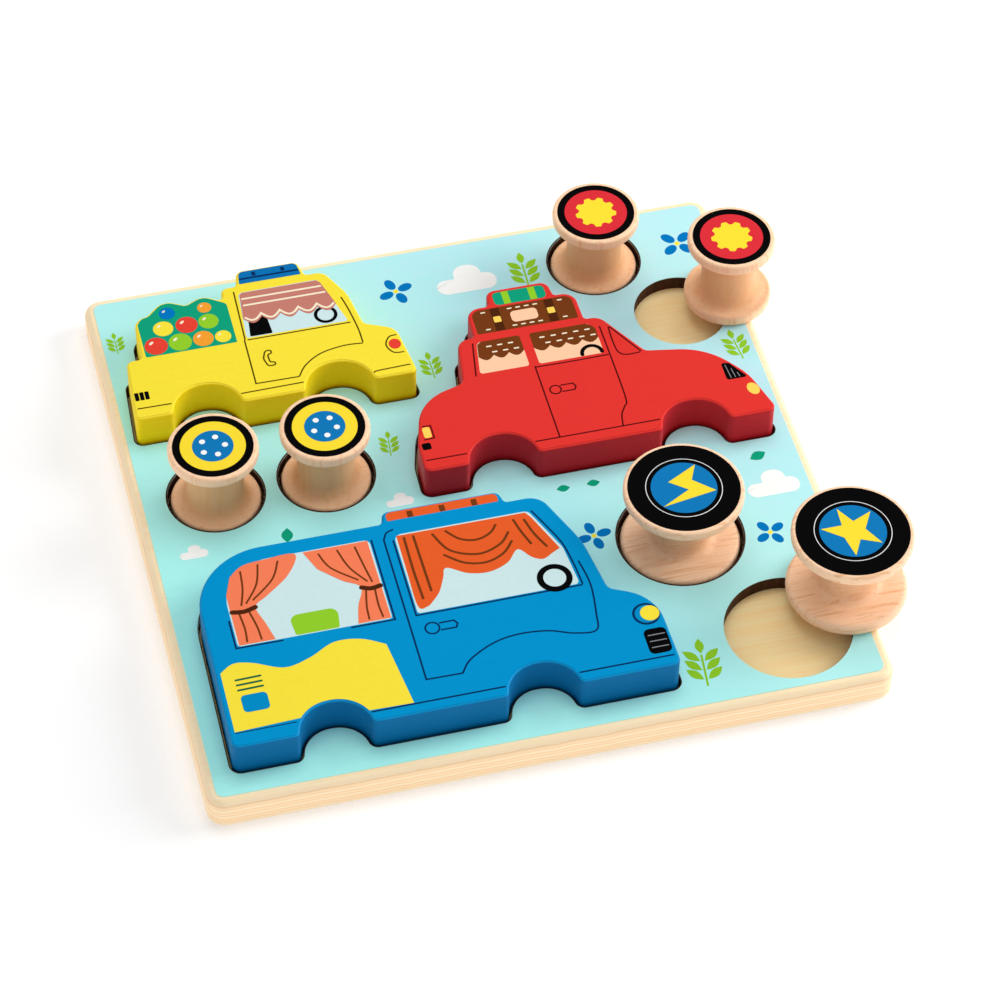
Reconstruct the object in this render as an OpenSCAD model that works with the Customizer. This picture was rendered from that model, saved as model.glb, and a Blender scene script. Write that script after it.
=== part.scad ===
// Wooden relief puzzle board with three thick vehicles and six loose spool wheels.
// Frame: origin at the middle of the board's underside, +X right, +Y to the back, +Z up.
// A spool's waist is as long as a vehicle is thick, so that a lifted vehicle can stand
// on its spools: the waist runs in the wheel arch and the flanges straddle the block.

/* [Board] */
// Side of the square board
board_w = 260; // [250:1:300]
// Thickness of the plain bottom board
base_t = 6; // [4:0.5:9]
// Thickness of the upper board with the cut-outs
frame_t = 6; // [5:0.5:9]
// Radius of the board's corners, seen from above
board_corner_r = 7; // [5:0.5:12]
// Round-over along the top edge of the upper board
edge_round = 3; // [1:0.5:4]
// Bare wood between the round-over and the printed sheet
sheet_rim = 0.75; // [0.5:0.25:3]
// Thickness of the printed sheet on the board
sheet_t = 0.2; // [0.1:0.05:0.4]

/* [Wheel holes] */
// Bare board between the left edge and the truck's rear hole
truck_hole_side = 13.3; // [8:0.1:18]
// Bare board between the truck's sill and its holes
truck_hole_drop = 13.8; // [8:0.1:18]
// Bare board between the truck's two holes
truck_bridge = 6; // [3:0.1:10]
// Bare board between the right edge and the car's front hole
car_hole_side = 8.4; // [6:0.1:12]
// Bare board between the back edge and the car's rear hole
car_hole_back = 7.2; // [6:0.1:12]
// Bare board between the car's two holes
car_bridge = 6.7; // [3:0.1:10]
// Bare board between the right edge and the van's front hole
van_hole_side = 8.7; // [6:0.1:12]
// Bare board between the front edge and the van's front hole
van_hole_front = 7.2; // [6:0.1:12]
// Bare board between the van's two holes
van_bridge = 10.6; // [5:0.1:14]

/* [Vehicles] */
// Thickness of the three vehicle blocks
block_t = 20; // [16:1:24]
// Round-over along the blocks' edges
block_round = 0.8; // [0.5:0.1:1.6]
// Thickness of the printed sheet on a block
print_t = 0.2; // [0.1:0.05:0.4]
// Clearance between a block and its recess
recess_gap = 1; // [0.6:0.1:1.4]
// Length of the pick-up truck
truck_l = 112; // [104:1:118]
// Height of the pick-up truck with its load
truck_h = 70; // [64:1:74]
// Length of the car
car_l = 141; // [130:1:148]
// Height of the car with its roof luggage
car_h = 88; // [80:1:92]
// Length of the van
van_l = 168; // [156:1:178]
// Height of the van with its roof box
van_h = 97; // [88:1:102]
// Clearance between a spool's waist and a wheel arch
arch_gap = 1.5; // [1:0.25:3]
// Rounding of the corners where an arch meets the sill
arch_lip_r = 2.3; // [1.8:0.1:3]

/* [Wheels] */
// Flange diameter of the four small spools
small_wheel_d = 34.8; // [33:0.1:38]
// Flange diameter of the two large spools
large_wheel_d = 46; // [42:0.1:50]
// Diameter of the waist of every spool
waist_d = 22; // [18:0.5:24]
// Thickness of a flange at its rim
flange_t = 5.4; // [5:0.1:7]
// Rounding of a flange's edges
flange_round = 1.1; // [0.6:0.1:2]
// Rise of a flange's inner face from the rim to the waist
flange_rise = 0.4; // [0.2:0.1:1.4]
// Fillet between a flange and the waist
waist_fillet = 1.5; // [1:0.1:4]
// Clearance between a block and the flanges that straddle it
side_gap = 1.2; // [0.6:0.1:1.8]
// Radial clearance between a flange and its hole in the board
wheel_gap = 1.3; // [0.6:0.1:1.8]
// Bare wood between a flange's rounding and its printed disc
disc_rim = 0.5; // [0.2:0.1:1]
// Thickness of the printed discs
disc_t = 0.2; // [0.1:0.05:0.4]

/* [Hidden] */

// Largest turn of one straight step along a round stretch, in degrees
arc_step = 10;
// Straight steps in one quarter of a round-over
round_steps = 3;
// Facets of the turned pieces
turn_fn = 96;
// Least radius that a corner keeps when its outline is drawn in
least_r = 0.05;
// Overrun of every cut past the faces that it opens
overrun = 1;
// Overlap of a block's rounded band with its core
band_lap = 1;

board_t = base_t + frame_t;
sheet_w = board_w - 2 * (edge_round + sheet_rim);
sheet_corner_r = max(board_corner_r - edge_round - sheet_rim, edge_round);
block_top = base_t + block_t;
face_top = board_t + sheet_t;
arch_r = waist_d / 2 + arch_gap;
small_hole_d = small_wheel_d + 2 * wheel_gap;
large_hole_d = large_wheel_d + 2 * wheel_gap;
spool_h = block_t + 2 * (side_gap + flange_rise + flange_t);

// Half widths of an arch at its foot and at its crown, and the crown's radius, as shares of arch_r
arch_foot_share = 1.1;
arch_top_share = 0.86;
arch_crown_share = 1.05;

// Places of the blocks on the board, middle and sill, as shares of its side
truck_place_shares = [-0.255, 0.187];
car_place_shares = [0.195, -0.013];
van_place_shares = [-0.131, -0.447];

// Places of the wheel holes: the truck's row hangs below its sill, the car's pair lies in the back
// right corner and the van's in the front right corner. A pair's direction is a share of its spacing
car_pair_shares = [0.607, 0.795];
van_pair_shares = [0.456, 0.89];
half_w = board_w / 2;
small_hole_r = small_hole_d / 2;
large_hole_r = large_hole_d / 2;
truck_step = small_hole_d + truck_bridge;
car_step = (small_hole_d + car_bridge) * car_pair_shares;
van_step = (large_hole_d + van_bridge) * van_pair_shares;
truck_rear_hole = [
    truck_hole_side + small_hole_r - half_w,
    board_w * truck_place_shares.y - truck_hole_drop - small_hole_r
];
truck_front_hole = [truck_rear_hole.x + truck_step, truck_rear_hole.y];
car_front_x = half_w - car_hole_side - small_hole_r;
car_rear_y = half_w - car_hole_back - small_hole_r;
car_rear_hole = [car_front_x - car_step.x, car_rear_y];
car_front_hole = [car_front_x, car_rear_y - car_step.y];
van_front_hole = [half_w - van_hole_side - large_hole_r, van_hole_front + large_hole_r - half_w];
van_rear_hole = [van_front_hole.x - van_step.x, van_front_hole.y + van_step.y];

// Where a taken-out spool stands beside its empty hole, as shares of the hole's diameter
car_stand_shares = [0.543, 0.088];
van_stand_shares = [0.541, 0.255];
car_front_stand = car_front_hole + small_hole_d * car_stand_shares;
van_front_stand = van_front_hole + large_hole_d * van_stand_shares;

// Middles of the wheel arches, rear and front, as shares of a block's length
truck_arch_shares = [0.255, 0.722];
car_arch_shares = [0.221, 0.767];
van_arch_shares = [0.229, 0.692];

// Outlines above the sill, front to back, as shares: place along the length, place up
// the height, and corner radius as a share of the height
truck_outline_shares = [
    [0.972, 0.36, 0.1], [0.866, 0.437, 0.043], [0.843, 0.686, 0.286], [0.781, 0.886, 0.07],
    [0.714, 0.886, 0.023], [0.701, 1, 0.046], [0.478, 1, 0.046], [0.464, 0.886, 0.023],
    [0.406, 0.886, 0.043], [0.406, 0.786, 0.022],
    [0.339, 0.857, 0.086], [0.272, 0.807, 0.023], [0.196, 0.871, 0.093], [0.129, 0.771, 0.023],
    [0.08, 0.757, 0.08], [0.073, 0.45, 0.023], [0.018, 0.45, 0.043]
];
car_outline_shares = [
    [0.957, 0.244, 0.295], [0.869, 0.434, 0.318], [0.702, 0.483, 0.034], [0.61, 0.733, 0.068],
    [0.567, 0.733, 0.018], [0.565, 0.909, 0.062], [0.507, 0.909, 0.018], [0.5, 1, 0.043],
    [0.323, 1, 0.043], [0.316, 0.909, 0.018], [0.251, 0.909, 0.062], [0.248, 0.733, 0.018],
    [0.2, 0.733, 0.057], [0.177, 0.477, 0.034], [0.045, 0.418, 0.227], [0.003, 0.165, 0.16]
];
van_outline_shares = [
    [0.995, 0.346, 0.186], [0.899, 0.426, 0.041], [0.879, 0.68, 0.412], [0.818, 0.942, 0.082],
    [0.738, 0.942, 0.017], [0.729, 1, 0.031], [0.461, 1, 0.031], [0.452, 0.942, 0.017],
    [0.009, 0.942, 0.29]
];
// Radius of the two sill corners of every block, as a share of its height
sill_corner_share = 0.034;

// Outlines: a corner is [x, y, radius], and a closed list of corners turns counter-clockwise

function heading(a, b) = [b.x - a.x, b.y - a.y] / norm([b.x - a.x, b.y - a.y]);
function left_of(v) = [-v.y, v.x];
function spun(v, angle) = [v.x * cos(angle) - v.y * sin(angle), v.x * sin(angle) + v.y * cos(angle)];

// Points that round the corner between two headings, drawn in by inset
function rounded_corner(corner, before, after, inset) =
    let (
        miter = (left_of(before) + left_of(after)) / (1 + before * after),
        place = [corner.x, corner.y] + inset * miter,
        angle = atan2(before.x * after.y - before.y * after.x, before * after),
        side = sign(angle),
        radius = max(corner[2] - side * inset, least_r),
        start = place - before * radius * tan(abs(angle) / 2),
        middle = start + left_of(before) * radius * side,
        steps = max(1, ceil(abs(angle) / arc_step))
    )
    [for (i = [0 : steps]) middle + spun(start - middle, angle * i / steps)];

// The whole outline as points, drawn in by inset, or grown by a negative one
function rounded_outline(corners, inset = 0) =
    let (count = len(corners))
    [for (i = [0 : count - 1])
        let (
            before = heading(corners[(i + count - 1) % count], corners[i]),
            after = heading(corners[i], corners[(i + 1) % count])
        )
        if (corners[i][2] > 0) each rounded_corner(corners[i], before, after, inset)
        else [corners[i].x, corners[i].y]
    ];

// Four corners of the wheel arch whose middle is at x, on a sill at y = 0
function arch_corners(x) = [
    [x - arch_r * arch_foot_share, 0, arch_lip_r],
    [x - arch_r * arch_top_share, arch_r, arch_r * arch_crown_share],
    [x + arch_r * arch_top_share, arch_r, arch_r * arch_crown_share],
    [x + arch_r * arch_foot_share, 0, arch_lip_r]
];

// A vehicle's corners in the board's frame: sill, two arches, then the outline over the top
function vehicle_corners(length, height, place_shares, arch_shares, outline_shares) =
    let (
        local = [
            [0, 0, height * sill_corner_share],
            each arch_corners(length * arch_shares[0]),
            each arch_corners(length * arch_shares[1]),
            [length, 0, height * sill_corner_share],
            for (share = outline_shares) [share[0] * length, share[1] * height, share[2] * height]
        ],
        shift = [board_w * place_shares.x - length / 2, board_w * place_shares.y, 0]
    )
    [for (corner = local) corner + shift];

truck_corners =
    vehicle_corners(truck_l, truck_h, truck_place_shares, truck_arch_shares, truck_outline_shares);
car_corners =
    vehicle_corners(car_l, car_h, car_place_shares, car_arch_shares, car_outline_shares);
van_corners =
    vehicle_corners(van_l, van_h, van_place_shares, van_arch_shares, van_outline_shares);

// Rings of a round-over, bottom to top: [inset, height]
lower_round = [for (i = [0 : round_steps])
    block_round * [1 - sin(90 * i / round_steps), 1 - cos(90 * i / round_steps)]];
upper_round = [for (i = [round_steps : -1 : 0]) [lower_round[i].x, block_t - lower_round[i].y]];

// The band round a block's core, skinned ring by ring over both round-overs and back inside the core
module rounded_band(corners) {
    inner_round = [for (z = [block_t - band_lap, band_lap]) [block_round + band_lap, z]];
    rings = concat(lower_round, upper_round, inner_round);
    sections = [for (ring = rings) rounded_outline(corners, ring.x)];
    count = len(sections[0]);
    turns = len(rings);
    points = [for (k = [0 : turns - 1], p = sections[k]) [p.x, p.y, rings[k].y]];
    walls = [for (k = [0 : turns - 1], i = [0 : count - 1])
        let (
            next = (i + 1) % count,
            low = k * count,
            high = (k + 1) % turns * count
        )
        each [[low + i, high + next, low + next], [low + i, high + i, high + next]]];
    polyhedron(points, walls, convexity = 8);
}

// A block whose outline is rounded over along both edges: a straight core in its rounded band
module rounded_block(corners) {
    linear_extrude(block_t) polygon(rounded_outline(corners, block_round));
    rounded_band(corners);
}

// A square sheet with true round corners
module rounded_square(side, corner_r) {
    straight = side - 2 * corner_r;
    square([side, straight], center = true);
    square([straight, side], center = true);
    for (x = [-1, 1], y = [-1, 1])
        translate([x * straight / 2, y * straight / 2]) circle(corner_r, $fn = turn_fn);
}

// The upper board before it is cut: a core, four sides and four turned corners of one edge profile
module round_edged_plate() {
    straight = board_w - 2 * board_corner_r;
    profile = rounded_outline([
        [0, 0, 0], [board_corner_r, 0, 0], [board_corner_r, frame_t, edge_round], [0, frame_t, 0]
    ]);
    translate([-straight / 2, -straight / 2, 0]) cube([straight, straight, frame_t]);
    for (quarter = [0 : 90 : 270]) rotate([0, 0, quarter]) translate([straight / 2, 0, 0]) {
        rotate([90, 0, 0]) translate([0, 0, -straight / 2]) linear_extrude(straight) polygon(profile);
        translate([0, straight / 2, 0]) rotate_extrude(angle = 90, $fn = turn_fn) polygon(profile);
    }
}

// Everything that is cut through the upper board and its printed sheet
module cut_outs(depth) {
    for (corners = [truck_corners, car_corners, van_corners])
        linear_extrude(depth) polygon(rounded_outline(corners, -recess_gap));
    for (place = [truck_rear_hole, truck_front_hole, car_rear_hole, car_front_hole])
        translate(place) cylinder(h = depth, d = small_hole_d, $fn = turn_fn);
    for (place = [van_rear_hole, van_front_hole])
        translate(place) cylinder(h = depth, d = large_hole_d, $fn = turn_fn);
}

// A turned spool standing on its lower flange: two flanges and a waist between them
module spool(flange_d) {
    rim_r = flange_d / 2;
    waist_r = waist_d / 2;
    neck_z = flange_t + flange_rise;
    neck_r = min(waist_fillet, rim_r - waist_r - flange_round);
    rotate_extrude($fn = turn_fn) polygon(rounded_outline([
        [0, 0, 0], [rim_r, 0, flange_round],
        [rim_r, flange_t, flange_round], [waist_r, neck_z, neck_r],
        [waist_r, spool_h - neck_z, neck_r], [rim_r, spool_h - flange_t, flange_round],
        [rim_r, spool_h, flange_round], [0, spool_h, 0]
    ]));
}

// The printed disc on a spool's upper flange
module wheel_disc(flange_d) {
    disc_d = flange_d - 2 * (flange_round + disc_rim);
    translate([0, 0, spool_h]) cylinder(h = disc_t, d = disc_d, $fn = turn_fn);
}

// Places of a spool: seated on the bottom board, or standing on the printed sheet
module seated(place) { translate([place.x, place.y, base_t]) children(); }
module stood(place) { translate([place.x, place.y, face_top]) children(); }

module base_plate() {
    color("burlywood") linear_extrude(base_t) rounded_square(board_w, board_corner_r);
}

module frame_plate() {
    color("wheat") difference() {
        translate([0, 0, base_t]) round_edged_plate();
        translate([0, 0, base_t - overrun]) cut_outs(frame_t + 2 * overrun);
    }
}

module face_sheet() {
    color("paleturquoise") difference() {
        translate([0, 0, board_t]) linear_extrude(sheet_t) rounded_square(sheet_w, sheet_corner_r);
        translate([0, 0, board_t - overrun]) cut_outs(sheet_t + 2 * overrun);
    }
}

module vehicle_block(corners) { translate([0, 0, base_t]) rounded_block(corners); }
module vehicle_print(corners) {
    translate([0, 0, block_top]) linear_extrude(print_t) polygon(rounded_outline(corners, block_round));
}

module truck_block() { color("gold") vehicle_block(truck_corners); }
module truck_print() { color("yellow") vehicle_print(truck_corners); }
module car_block() { color("firebrick") vehicle_block(car_corners); }
module car_print() { color("red") vehicle_print(car_corners); }
module van_block() { color("steelblue") vehicle_block(van_corners); }
module van_print() { color("deepskyblue") vehicle_print(van_corners); }

module truck_rear_spool() { color("bisque") seated(truck_rear_hole) spool(small_wheel_d); }
module truck_rear_disc() { color("gold") seated(truck_rear_hole) wheel_disc(small_wheel_d); }
module truck_front_spool() { color("bisque") seated(truck_front_hole) spool(small_wheel_d); }
module truck_front_disc() { color("gold") seated(truck_front_hole) wheel_disc(small_wheel_d); }
module car_rear_spool() { color("bisque") seated(car_rear_hole) spool(small_wheel_d); }
module car_rear_disc() { color("crimson") seated(car_rear_hole) wheel_disc(small_wheel_d); }
module car_front_spool() { color("bisque") stood(car_front_stand) spool(small_wheel_d); }
module car_front_disc() { color("crimson") stood(car_front_stand) wheel_disc(small_wheel_d); }
module van_rear_spool() { color("bisque") seated(van_rear_hole) spool(large_wheel_d); }
module van_rear_disc() { color("black") seated(van_rear_hole) wheel_disc(large_wheel_d); }
module van_front_spool() { color("bisque") stood(van_front_stand) spool(large_wheel_d); }
module van_front_disc() { color("black") stood(van_front_stand) wheel_disc(large_wheel_d); }

base_plate();
frame_plate();
face_sheet();
truck_block();
truck_print();
car_block();
car_print();
van_block();
van_print();
truck_rear_spool();
truck_rear_disc();
truck_front_spool();
truck_front_disc();
car_rear_spool();
car_rear_disc();
car_front_spool();
car_front_disc();
van_rear_spool();
van_rear_disc();
van_front_spool();
van_front_disc();
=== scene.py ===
# Wooden puzzle board with a pick-up, a car, a van and six turned wheels
import bpy
from math import atan2, ceil, cos, pi, radians, sin, tan
from mathutils import Matrix, Vector


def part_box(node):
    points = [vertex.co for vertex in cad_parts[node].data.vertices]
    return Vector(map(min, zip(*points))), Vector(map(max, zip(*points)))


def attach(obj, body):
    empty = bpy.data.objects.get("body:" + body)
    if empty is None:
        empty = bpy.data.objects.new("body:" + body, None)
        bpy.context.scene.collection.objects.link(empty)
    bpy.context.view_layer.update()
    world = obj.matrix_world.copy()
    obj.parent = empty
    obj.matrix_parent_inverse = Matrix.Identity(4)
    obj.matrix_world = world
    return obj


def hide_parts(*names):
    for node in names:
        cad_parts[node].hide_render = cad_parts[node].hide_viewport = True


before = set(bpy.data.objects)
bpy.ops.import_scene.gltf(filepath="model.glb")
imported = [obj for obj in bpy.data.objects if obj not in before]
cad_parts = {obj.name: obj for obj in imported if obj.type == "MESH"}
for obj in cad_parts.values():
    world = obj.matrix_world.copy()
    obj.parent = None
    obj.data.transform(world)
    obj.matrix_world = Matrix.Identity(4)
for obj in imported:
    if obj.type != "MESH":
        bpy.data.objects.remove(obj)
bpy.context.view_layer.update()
mm = 0.001
print("frame loaded,", len(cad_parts), "CAD nodes")


# camera and light

cameraView = {
    "target": (0.0, 0.0, 0.0122),  # middle of the board's printed face
    "elevation": 48.873,
    "azimuth": -15.112,
    "roll": 1.223,
    "distance": 1.47438,
    "focal": 3818.72,  # in pixels of a frame 1000 wide
    "frameWidth": 1000.0,
    "targetPixel": (473.436, 480.513),
    "sensor": 36.0,
    "clipEnd": 50.0,
}
studioLight = {
    "lamps": {
        "soft_key": {"place": (0.1, 0.5, 1.7), "size": 1.0, "power": 9.0},
        "side_box": {"place": (1.4, 0.2, 0.7), "size": 0.9, "power": 16.0},
    },
    "white": (1, 1, 1, 1),
    "ambient": 0.52,
    "floorHalf": 6.0,
    "floorColour": (0.86, 0.86, 0.86, 1.0),
    "floorGlow": 0.65,  # that reaches the object
    "floorLift": 0.24,  # seen by the camera
}


def aimCamera(view):
    el, az, roll = (radians(view[key]) for key in ("elevation", "azimuth", "roll"))
    back = Vector((sin(az) * cos(el), -cos(az) * cos(el), sin(el)))
    level = (-back).cross(Vector((0, 0, 1))).normalized()
    upright = level.cross(-back)
    right = cos(roll) * level + sin(roll) * upright
    top = -sin(roll) * level + cos(roll) * upright
    middle = view["frameWidth"] / 2
    perPixel = view["distance"] / view["focal"]
    sideways = (view["targetPixel"][0] - middle) * perPixel
    down = (view["targetPixel"][1] - middle) * perPixel
    place = Vector(view["target"]) - right * sideways + top * down + back * view["distance"]
    turn = Matrix((right, top, back)).transposed().to_4x4()
    bpy.ops.object.camera_add()
    camera = bpy.context.object
    camera.name = "photo_camera"
    camera.matrix_world = Matrix.Translation(place) @ turn
    camera.data.sensor_width = view["sensor"]
    camera.data.lens = view["focal"] / view["frameWidth"] * view["sensor"]
    camera.data.clip_end = view["clipEnd"]
    bpy.context.scene.camera = camera


def addNode(tree, kind, sockets=None, **settings):
    made = tree.nodes.new(kind)
    for key, value in settings.items():
        setattr(made, key, value)
    for key, value in (sockets or {}).items():
        made.inputs[key].default_value = value
    return made


def wire(tree, source, outSocket, target, inSocket):
    tree.links.new(source.outputs[outSocket], target.inputs[inSocket])


def worked(tree, operation, *sources):
    made = addNode(tree, "ShaderNodeMath", operation=operation)
    for spot, (source, socket) in enumerate(sources):
        wire(tree, source, socket, made, spot)
    return made


def seenDirectly(tree):
    rays = addNode(tree, "ShaderNodeLightPath")
    either = worked(tree, "MAXIMUM", (rays, "Is Camera Ray"), (rays, "Is Glossy Ray"))
    return worked(tree, "MAXIMUM", (either, 0), (rays, "Is Transmission Ray"))


def byRay(tree, others, direct):
    level = addNode(tree, "ShaderNodeMapRange", {"To Min": others, "To Max": direct})
    wire(tree, seenDirectly(tree), 0, level, "Value")
    return level


def lightStudio(light):
    for lampName, look in light["lamps"].items():
        bpy.ops.object.light_add(type="AREA", location=look["place"])
        lamp = bpy.context.object
        lamp.name = lampName
        lamp.data.size = look["size"]
        lamp.data.energy = look["power"]
        lamp.rotation_euler = Vector(look["place"]).to_track_quat("Z", "Y").to_euler()
    world = bpy.data.worlds.new("soft_room")
    bpy.context.scene.world = world
    world.use_nodes = True
    tree = world.node_tree
    sky = tree.nodes["Background"]
    sky.inputs["Color"].default_value = light["white"]
    wire(tree, byRay(tree, light["ambient"], 1.0), "Result", sky, "Strength")


def layFloor(light):
    bpy.ops.mesh.primitive_plane_add(size=2 * light["floorHalf"], location=(0, 0, 0))
    floor = bpy.context.object
    floor.name = "studio_floor"
    finish = bpy.data.materials.new("floor_white")
    finish.use_nodes = True
    tree = finish.node_tree
    tree.nodes.remove(tree.nodes["Principled BSDF"])
    matt = addNode(tree, "ShaderNodeBsdfDiffuse", {"Color": light["floorColour"]})
    glow = addNode(tree, "ShaderNodeEmission", {"Color": light["white"]})
    wire(tree, byRay(tree, light["floorGlow"], light["floorLift"]), "Result", glow, "Strength")
    both = addNode(tree, "ShaderNodeAddShader")
    wire(tree, matt, 0, both, 0)
    wire(tree, glow, 0, both, 1)
    wire(tree, both, 0, tree.nodes["Material Output"], "Surface")
    floor.data.materials.append(finish)


bpy.ops.object.select_all(action="DESELECT")
aimCamera(cameraView)
lightStudio(studioLight)
layFloor(studioLight)
bpy.context.scene.view_settings.view_transform = "Standard"
print("camera, light and floor set")


# finishes

def srgb(red, green, blue):
    def linear(level):
        share = level / 255
        return share / 12.92 if share <= 0.04045 else ((share + 0.055) / 1.055) ** 2.4
    return (linear(red), linear(green), linear(blue), 1.0)


def shade(tone, share):
    return tuple(level * share for level in tone[:3]) + (1.0,)


def newFinish(name, shine):
    finish = bpy.data.materials.new(name)
    finish.use_nodes = True
    tree = finish.node_tree
    shader = tree.nodes["Principled BSDF"]
    shader.inputs["Specular IOR Level"].default_value = shine
    return finish, tree, shader


def inMillimetres(tree, stretch=(1, 1, 1), shift=(0, 0, 0)):
    place = addNode(tree, "ShaderNodeTexCoord")
    sockets = {"Scale": [share / mm for share in stretch], "Location": shift}
    scaled = addNode(tree, "ShaderNodeMapping", sockets)
    wire(tree, place, "Object", scaled, "Vector")
    return scaled


def cloudy(tree, scale, stretch=(1, 1, 1), detail=4.0, rough=0.55, distort=0.0, shift=(0, 0, 0)):
    sockets = {"Scale": scale, "Detail": detail, "Roughness": rough, "Distortion": distort}
    made = addNode(tree, "ShaderNodeTexNoise", sockets)
    wire(tree, inMillimetres(tree, stretch, shift), "Vector", made, "Vector")
    return made


def splitUp(tree, source, socket):
    parts = addNode(tree, "ShaderNodeSeparateXYZ")
    wire(tree, source, socket, parts, "Vector")
    return parts


def facing(tree):
    return splitUp(tree, addNode(tree, "ShaderNodeNewGeometry"), "Normal")


def toneRamp(tree, source, socket, stops):
    made = addNode(tree, "ShaderNodeValToRGB")
    bars = made.color_ramp.elements
    while len(bars) < len(stops):
        bars.new(1.0)
    for stop, (place, tone) in zip(bars, stops):
        stop.position = place
        stop.color = tone
    wire(tree, source, socket, made, "Fac")
    return made


def spread(tree, source, socket, fromLow, fromHigh, toLow, toHigh):
    sockets = {"From Min": fromLow, "From Max": fromHigh, "To Min": toLow, "To Max": toHigh}
    made = addNode(tree, "ShaderNodeMapRange", sockets)
    wire(tree, source, socket, made, "Value")
    return made


def toneOutput(node):
    if node.bl_idname == "ShaderNodeMix":
        return node.outputs[2]  # the colour among the mix node's outputs
    return node.outputs["Color"]


def blendTones(tree, share, shareSocket, first, second):
    made = addNode(tree, "ShaderNodeMix", data_type="RGBA")
    wire(tree, share, shareSocket, made, 0)
    for spot, tone in ((6, first), (7, second)):  # the two colours among its inputs
        if isinstance(tone, tuple):
            made.inputs[spot].default_value = tone
        else:
            tree.links.new(toneOutput(tone), made.inputs[spot])
    return made


def streaked(tree, noise, span, most, body, tone):
    return blendTones(tree, spread(tree, noise, "Fac", *span, 0.0, most), "Result", body, tone)


def useTone(tree, node, shader):
    tree.links.new(toneOutput(node), shader.inputs["Base Color"])


noiseSpan = (0.3, 0.7)  # where most of a noise's values lie


def varyGloss(tree, shader, noise, least, most):
    wire(tree, spread(tree, noise, "Fac", *noiseSpan, least, most), "Result", shader, "Roughness")


def addBump(tree, shader, noise, strength, depth):
    bump = addNode(tree, "ShaderNodeBump", {"Strength": strength, "Distance": depth})
    wire(tree, noise, "Fac", bump, "Height")
    wire(tree, bump, "Normal", shader, "Normal")


# coats of colour on wood: a cloudy mottle, and the grain showing through along X
# both have the noise's span, the largest share of the darker tone, and that tone's shade
coats = {
    "grainStretch": (0.05, 1, 1),
    "ink": {
        "shine": 0.015, "rough": (0.46, 0.56), "bump": (0.06, 0.0001),
        "mottle": {"scale": 0.6, "detail": 5.0}, "mottled": ((0.3, 0.7), 0.5, 0.94),
        "grain": {"scale": 1.4, "detail": 3.0}, "grained": ((0.52, 0.75), 0.4, 0.92),
    },
    "paint": {
        "shine": 0.1, "rough": (0.4, 0.52), "bump": (0.1, 0.00015),
        "mottle": {"scale": 0.045, "detail": 3.0}, "mottled": ((0.35, 0.7), 0.5, 0.88),
        "grain": {"scale": 0.8, "detail": 4.0}, "grained": ((0.5, 0.72), 0.3, 0.84),
        "topFacing": (0.3, 0.9),  # the round-over blends from the wall paint to the print's tone as it turns up: partly the print's colour over the edge, partly painted light, lighter facing up and darker on the walls
    },
    "face": {
        "shine": 0.1, "rough": (0.4, 0.52), "bump": (0.06, 0.0001),
        "mottle": {"scale": 0.2, "detail": 5.0}, "mottled": ((0.3, 0.7), 0.4, 0.94),
        "grain": {"scale": 0.9, "detail": 3.0}, "grained": ((0.52, 0.75), 0.22, 0.88),
    },
}


def layCoat(tree, shader, coat, ground, tone):
    def darkened(noise, amount, body):
        span, most, dim = amount
        return streaked(tree, noise, span, most, body, shade(tone, dim))

    mottle = cloudy(tree, **coat["mottle"])
    grain = cloudy(tree, stretch=coats["grainStretch"], **coat["grain"])
    varyGloss(tree, shader, mottle, *coat["rough"])
    addBump(tree, shader, grain, *coat["bump"])
    return darkened(grain, coat["grained"], darkened(mottle, coat["mottled"], ground))


def inkFinish(name, tone):
    finish, tree, shader = newFinish(name, coats["ink"]["shine"])
    useTone(tree, layCoat(tree, shader, coats["ink"], tone, tone), shader)
    return finish


def paintFinish(name, tone, topTone):
    paint = coats["paint"]
    finish, tree, shader = newFinish(name, paint["shine"])
    body = layCoat(tree, shader, paint, tone, tone)
    # partly painted light: surfaces facing up take the print's lighter tone, the walls keep the darker wall
    # paint, which carries painted shade
    upward = spread(tree, facing(tree), "Z", *paint["topFacing"], 0.0, 1.0)
    useTone(tree, blendTones(tree, upward, "Result", body, topTone), shader)
    return finish


# painted light: the face's tone runs from a greener near left, in shade, to a paler, bluer far right, toward
# the lamps
boardFace = {
    "nearLeft": srgb(173, 249, 243),
    "farRight": srgb(186, 234, 244),
    "span": 0.30,
}


def faceFinish(name, face):
    finish, tree, shader = newFinish(name, coats["face"]["shine"])
    parts = splitUp(tree, addNode(tree, "ShaderNodeTexCoord"), "Object")
    total = worked(tree, "ADD", (parts, "X"), (parts, "Y"))
    share = spread(tree, total, 0, -face["span"] / 2, face["span"] / 2, 0.0, 1.0)
    # painted light gradient across the face, by the sum of x and y
    sky = toneRamp(tree, share, "Result", [(0.0, face["nearLeft"]), (1.0, face["farRight"])])
    useTone(tree, layCoat(tree, shader, coats["face"], sky, face["nearLeft"]), shader)
    return finish


beech = {
    "shine": 0.2, "rough": (0.4, 0.55), "bump": (0.12, 0.0002),
    "rings": {"scale": 0.55, "detail": 5.0, "rough": 0.6, "distort": 0.4},
    "ringStops": (0.3, 0.5, 0.62, 0.78),
    "fibres": {"scale": 2.4, "detail": 3.0, "shift": (7, 3, 5)}, "fibreSpan": (0.55, 0.75), "fibreShare": 0.5,
    "rays": {"scale": 1.3, "detail": 2.0, "shift": (2, 9, 4)}, "raySpan": (0.62, 0.76),
    "coreBlend": 3.0,  # painted shade: the darker tone of the waist and coves comes in over this length, mm
}


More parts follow.
